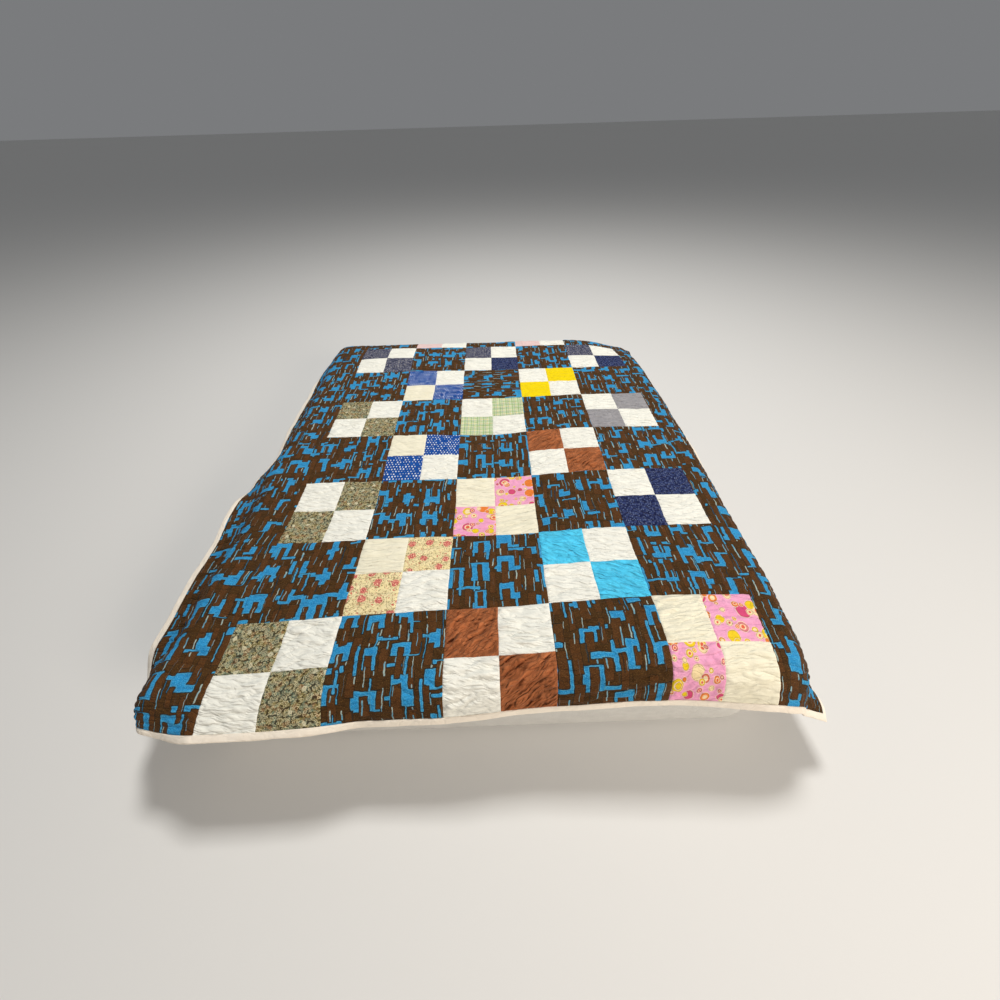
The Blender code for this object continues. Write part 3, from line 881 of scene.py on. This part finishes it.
def bar_print():
    """Ragged blue blocks and slits among brown bars, with thin pale dashes: a generic abstract print."""
    paint = Paint("bar_print_cotton")
    x = paint.x + paint.drift(80.0, 1.0, 0.0, 10.0) + paint.drift(14.0, 2.0, 1.0, 4.4)
    y = paint.y + paint.drift(55.0, 4.0, 0.0, 10.0) + paint.drift(14.0, 6.0, 1.0, 4.4)
    blocks = bars(paint, x, y, (76.0, 92.0), (0.20, 0.46), (0.16, 0.38), 11.0)
    bands = bars(paint, y, x, (66.0, 124.0), (0.05, 0.11), (0.14, 0.34), 21.0)
    posts = bars(paint, x + 9.0, y, (33.0, 84.0), (0.20, 0.37), (0.24, 0.46), 31.0)
    slits = bars(paint, x, y, (37.0, 104.0), (-0.10, 0.11), (0.16, 0.38), 41.0)
    blue = blocks.most(bands).least(posts * -1.0).most(slits)
    dashes = bars(paint, x + 5.0, y, (21.0, 64.0), (-0.01, 0.09), (0.16, 0.42), 51.0)
    pale = dashes.above(0.0, 0.3) * blue.below(-2.0, 0.5)
    speckle = paint.noise(2.2, 12.0, 1.0)
    brown_tone = paint.over(
        (56, 36, 13),
        (paint.noise(24.0, 8.0, 2.0), (88, 58, 27)),
        (posts.above(0.0, 0.4) * 0.6, (96, 58, 28)),
        (abs(posts + 0.3).below(0.7, 0.4) * 0.6, (22, 22, 14)),
        (speckle.below(0.40, 0.06) * 0.5, (28, 32, 18)),
        (speckle.above(0.64, 0.04) * 0.5, (128, 96, 50)),
    )
    blue_tone = paint.over(
        (26, 124, 186),
        (paint.noise(16.0, 9.0, 2.0), (56, 166, 222)),
        (speckle.below(0.42, 0.1) * 0.45, (24, 92, 132)),
        (speckle.above(0.60, 0.06) * 0.45, (112, 192, 226)),
    )
    pale_tone = paint.mix(paint.noise(30.0, 14.0).above(0.5, 0.1), (170, 190, 182), (104, 168, 192))
    colour = paint.over(
        brown_tone,
        (blue.above(0.0, 0.35), blue_tone),
        (abs(blue - 1.4).below(0.6, 0.3) * 0.45, (112, 178, 184)),
        (abs(blue + 0.4).below(1.0, 0.5) * 0.75, (22, 34, 30)),
        (pale * 0.92, pale_tone),
    )
    return paint.finish(colour, crease=1.2, stitch=(96, 84, 58))


def calico():
    """Blue with rows of small white flowers."""
    paint = Paint("blue_calico")
    row = (paint.y / 12.0).floor()
    x = paint.x / 10.4 + row * 0.5
    column = x.floor()
    from_x = (x - column - 0.5) * 10.4 + (paint.random(column, row, 1.0) - 0.5) * 1.6
    from_y = (paint.y - row * 12.0 - 6.0) * 0.7
    away = paint.math("POWER", from_x * from_x + from_y * from_y, 0.5)
    size = paint.random(column, row, 2.0) * 1.2 + 1.4
    flower = (away - size).below(0.0, 0.3) * paint.random(column, row, 3.0).above(0.16, 0.02)
    leaves = paint.cells(4.4, 2.0)[0].below(0.9, 0.2)
    colour = paint.over(
        (10, 66, 146),
        (paint.noise(20.0, 3.0), (24, 88, 170)),
        (leaves * 0.6, (16, 36, 104)),
        (flower, (236, 242, 248)),
        (away.below(0.5, 0.15), (80, 110, 170)),
    )
    return paint.finish(colour, crease=0.9)


def paisley():
    """Dense small figures in olive, grey and brown, with comma shapes outlined in cream."""
    paint = Paint("paisley_cotton")
    bent_x = paint.x + paint.drift(8.0, 4.0, 1.0, 8.0)
    bent_y = paint.y + paint.drift(8.0, 5.0, 1.0, 8.0)
    near, chances = paint.cells(34.0, 21.0, bent_x, bent_y, 0.9)
    curl = (near / 1.9).sin().above(0.45, 0.25) * near.below(11.0, 1.0) * chances[0].above(0.4, 0.02)
    near, chances = paint.cells(6.4, 11.0, bent_x, bent_y)
    ring = abs(near - 1.7 - chances[0]).below(0.45, 0.25) * chances[1].above(0.25, 0.05)
    gap = near.above(3.9, 0.5)
    near, chances = paint.cells(3.6, 12.0, bent_x, bent_y)
    colour = paint.over(
        (130, 118, 72),
        (paint.noise(20.0, 1.0, 1.0).above(0.5, 0.08), (114, 116, 94)),
        (paint.noise(17.0, 2.0, 1.0).above(0.58, 0.05) * 0.75, (152, 114, 76)),
        (paint.noise(15.0, 3.0, 1.0).above(0.58, 0.04) * 0.7, (112, 134, 114)),
        (gap * 0.85, (52, 42, 28)),
        (ring * 0.9, (216, 206, 166)),
        (near.below(0.8, 0.25) * chances[0].above(0.5, 0.02) * 0.8, (46, 38, 28)),
        (near.below(0.7, 0.25) * chances[1].above(0.6, 0.02), (212, 194, 146)),
        (curl * 0.8, (220, 212, 178)),
    )
    return paint.finish(colour, crease=0.8)


def roses():
    """Cream with scattered pink roses and olive sprigs."""
    paint = Paint("rose_print_cotton")
    bent_x = paint.x + paint.drift(14.0, 2.0, 1.0, 16.0)
    bent_y = paint.y + paint.drift(14.0, 3.0, 1.0, 16.0)
    vines = abs(paint.noise(15.0, 4.0, 0.0, bent_x, bent_y) - 0.5).below(0.016, 0.01)
    near, chances = paint.cells(7.0, 5.0, bent_x, bent_y)
    leaf = near.below(1.6, 0.3) * chances[0].above(0.4, 0.02)
    bud = near.below(1.4, 0.3) * chances[1].above(0.7, 0.02)
    away, chances = paint.cells(44.0, 6.0, randomness=0.6)
    bloom = chances[1] * 2.0 + 9.0 - away + paint.drift(5.0, 8.0, 1.0, 12.0)
    wreath = abs(bloom + 4.0).below(1.3, 0.5) * paint.noise(4.0, 10.0).above(0.5, 0.05)
    petal = paint.noise(3.4, 9.0, 1.0)
    petal_tone = paint.over(
        (196, 66, 76),
        (petal.above(0.5, 0.06), (232, 134, 122)),
        (petal.above(0.62, 0.03), (248, 214, 176)),
        (petal.below(0.36, 0.03), (120, 66, 48)),
    )
    colour = paint.over(
        (240, 220, 160),
        (paint.noise(30.0, 1.0, 1.0), (246, 232, 188)),
        (vines * 0.8, (140, 104, 62)),
        (leaf * 0.75, (144, 128, 78)),
        (bud, (214, 112, 96)),
        (bloom.above(0.0, 0.5) * 0.92, petal_tone),
        (wreath * 0.8, (126, 112, 64)),
    )
    return paint.finish(colour)


def circles():
    """Pink with scattered discs and rings in yellow, orange and rose: a generic dotted print."""
    paint = Paint("circle_print_cotton")
    colour = paint.mix(paint.noise(40.0, 1.0), (238, 156, 194), (245, 178, 208))
    for size, seed, smallest, spread in ((43.0, 2.0, 7.5, 10.0), (30.0, 3.0, 3.5, 5.0)):
        near, chances = paint.cells(size, seed, randomness=0.85)
        radius = chances[0] * spread + smallest
        inside = radius - near
        ringed = chances[2].above(0.4, 0.01)
        disc = paint.over(
            (240, 206, 40),
            (chances[1].above(0.36, 0.01), (236, 130, 56)),
            (chances[1].above(0.60, 0.01), (214, 78, 122)),
            (chances[1].above(0.78, 0.01), (246, 222, 172)),
        )
        heart = paint.mix(chances[2].above(0.55, 0.01), (250, 228, 180), (226, 104, 76))
        colour = paint.over(
            colour,
            (inside.above(-1.9, 0.4) * 0.75, (250, 222, 186)),
            (inside.above(0.0, 0.3), disc),
            (abs(inside).below(0.5, 0.25) * 0.65, (142, 74, 54)),
            ((inside / radius).above(0.40, 0.05) * ringed, (250, 222, 178)),
            ((inside / radius).above(0.62, 0.05) * ringed, heart),
        )
    return paint.finish(colour)


def plaid():
    """A pale green plaid with thin yellow and blue-grey lines."""
    paint = Paint("green_plaid_cotton")
    colour = paint.mix(paint.noise(40.0, 1.0), (214, 222, 186), (224, 230, 198))
    repeat = 25.0
    stripes = (  # place in the repeat, width, colour, strength
        (3.0, 5.0, (138, 176, 104), 0.6),
        (12.5, 1.5, (92, 128, 132), 0.65),
        (17.5, 1.3, (222, 196, 84), 0.8),
        (9.2, 1.1, (104, 150, 84), 0.65),
    )
    for place in (paint.x, paint.y):
        for offset, width, tone, share in stripes:
            away = ((place - offset) / repeat).middle() * repeat
            colour = paint.mix(away.below(width / 2, 0.25) * share, colour, tone)
    return paint.finish(colour, crease=1.1, swell=4.0)


def mottled(name, base, dark, pale, size):
    """A small print of dark and pale spots."""
    paint = Paint(name)
    near, chances = paint.cells(size, 2.0)
    spot = near.below(size * 0.24, 0.3) * chances[0].above(0.4, 0.02)
    blotch = paint.noise(size * 1.3, 5.0, 2.0).above(0.5, 0.05)
    return paint.finish(paint.over(base, (blotch, dark), (spot * 0.85, pale)), crease=1.1, swell=4.0)


PLAIN_COTTONS = {  # material, two near tones, then the crease, swell, lean and stretch for Paint.finish
    "white": ("white_cotton", (242, 241, 229), (248, 247, 237), 1.7, 2.4, -12.0, 1.9),
    "cream": ("cream_cotton", (240, 234, 207), (246, 240, 218), 1.4, 2.2, 2.0, 2.3),
    "rust": ("rust_cotton", (158, 90, 52), (188, 115, 72), 4.0, 21.0, 36.0, 1.5),
    "turquoise": ("turquoise_cotton", (68, 196, 242), (96, 219, 253), 2.5, 11.0, -25.0, 1.6),
    "yellow": ("yellow_cotton", (242, 210, 0), (246, 220, 6), 1.0, 2.2, 0.0, 1.0),
    "grey": ("grey_cotton", (148, 146, 150), (166, 164, 166), 1.6, 9.0, 0.0, 1.0),
    "pink": ("pink_cotton", (228, 196, 192), (234, 208, 204), 1.0, 2.2, 0.0, 1.0),
    "binding": ("binding_cotton", (243, 231, 213), (249, 240, 225), 0.6, 2.2, 0.0, 1.0),
    "backing": ("backing_muslin", (232, 226, 212), (238, 232, 220), 0.7, 2.2, 0.0, 1.0),
    "ticking": ("mattress_ticking", (206, 204, 198), (216, 214, 208), 0.3, 2.2, 0.0, 1.0),
}


def add_materials():
    """Each fabric's material, by the fabric's name."""
    made = {name: plain(*row) for name, row in PLAIN_COTTONS.items()}
    made |= {
        "bars": bar_print(),
        "navy": mottled("navy_cotton", (50, 62, 106), (24, 32, 70), (104, 118, 150), 7.0),
        "slate": mottled("slate_cotton", (92, 94, 114), (50, 54, 78), (184, 182, 180), 8.0),
        "calico": calico(),
        "paisley": paisley(),
        "roses": roses(),
        "circles": circles(),
        "plaid": plaid(),
    }
    return made


# ---- the whole object
def top_pieces():
    """The sewn pieces of the top: by the name of each mesh, its fabric and its pieces' boxes."""
    meshes = {}

    def sew(name, fabric, *box):
        meshes.setdefault(name, (fabric, []))[1].append(box)

    four_patches = set()
    for first_u, first_v, *fabrics in FOUR_PATCHES:
        four_patches.add((first_u, first_v))
        for fabric, (du, dv) in zip(fabrics, ((0, 1), (1, 1), (0, 0), (1, 0))):
            u, v = first_u + du, first_v + dv
            sew(fabric + "_squares", fabric, u, v, u + 1, v + 1)
    for first_u in range(INNER_LEFT, INNER_RIGHT, 2):
        for first_v in range(FIRST_V, LAST_V, 2):
            if (first_u, first_v) not in four_patches:
                half = "foot" if first_v < (FIRST_V + LAST_V) / 2 else "head"
                sew("bar_print_blocks_" + half, "bars", first_u, first_v, first_u + 2, first_v + 2)
    sew("bar_print_border_left", "bars", FIRST_U, FIRST_V, INNER_LEFT, LAST_V)
    sew("bar_print_border_right", "bars", INNER_RIGHT, FIRST_V, LAST_U, LAST_V)
    return meshes


def add_light(name, place, aim, size, power, colour):
    data = bpy.data.lights.new(name, "AREA")
    data.shape = "RECTANGLE"
    data.size, data.size_y = size
    data.energy = power
    data.color = colour
    made = add_object(name, data)
    made.location = place
    made.rotation_euler = (Vector(aim) - Vector(place)).to_track_quat("-Z", "Y").to_euler()


def add_stage():
    """A plain pale floor, soft light from above, and the camera at the foot of the bed."""
    mesh = bpy.data.meshes.new("floor")
    far = FLOOR_SIDE / 2
    mesh.from_pydata([(-far, -far, 0), (far, -far, 0), (far, far, 0), (-far, far, 0)], [], [(0, 1, 2, 3)])
    floor = add_object("floor", mesh)
    pale = bpy.data.materials.new("floor_paint")
    pale.use_nodes = True
    shader = pale.node_tree.nodes["Principled BSDF"]
    shader.inputs["Base Color"].default_value = linear(224, 223, 220)
    shader.inputs["Roughness"].default_value = 0.8
    mesh.materials.append(pale)

    add_light("overhead", (0.3, 1.6, 4.9), (0.0, -0.5, 0.3), (1.1, 0.9), 180, (1.0, 0.985, 0.96))
    add_light("front_fill", (3.0, -3.6, 2.2), (0.0, -0.8, 0.2), (1.9, 1.3), 134, (1.0, 0.90, 0.79))
    world = bpy.data.worlds.new("studio")
    world.use_nodes = True
    sky = world.node_tree.nodes["Background"]
    sky.inputs["Color"].default_value = (0.95, 0.97, 1.0, 1.0)
    sky.inputs["Strength"].default_value = 0.205
    bpy.context.scene.world = world
    bpy.context.scene.view_settings.view_transform = "Standard"

    lens = bpy.data.cameras.new("camera")
    lens.sensor_width = 36.0
    lens.lens = CAMERA_LENS
    camera = add_object("camera", lens)
    quilt_middle = MATTRESS_TALL + REST_GAP + QUILT_THICK / 2
    camera.location = np.array(CAMERA_PLACE) * PATCH + SHIFT + [0.0, 0.0, quilt_middle]
    camera.rotation_euler = Euler([math.radians(angle) for angle in CAMERA_TURN])
    bpy.context.scene.camera = camera


def main():
    materials = add_materials()
    sheets, lengths = [], []
    for name, (fabric, boxes) in top_pieces().items():
        sheets.append(add_sheet(name, boxes, fabric, materials[fabric]))
        lengths.append(sum(patches_in(box) for box in boxes) * PATCH)
    backing = add_backing(materials["backing"])
    binding = add_binding(materials["binding"])
    mattress = add_mattress(materials["ticking"])
    add_stage()

    for made in sheets + [backing, binding, mattress]:
        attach(made, "root")
    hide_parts("mattress")
    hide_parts("binding")
    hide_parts("quilt")
    for made, length in zip(sheets, lengths):
        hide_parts("quilt")


main()
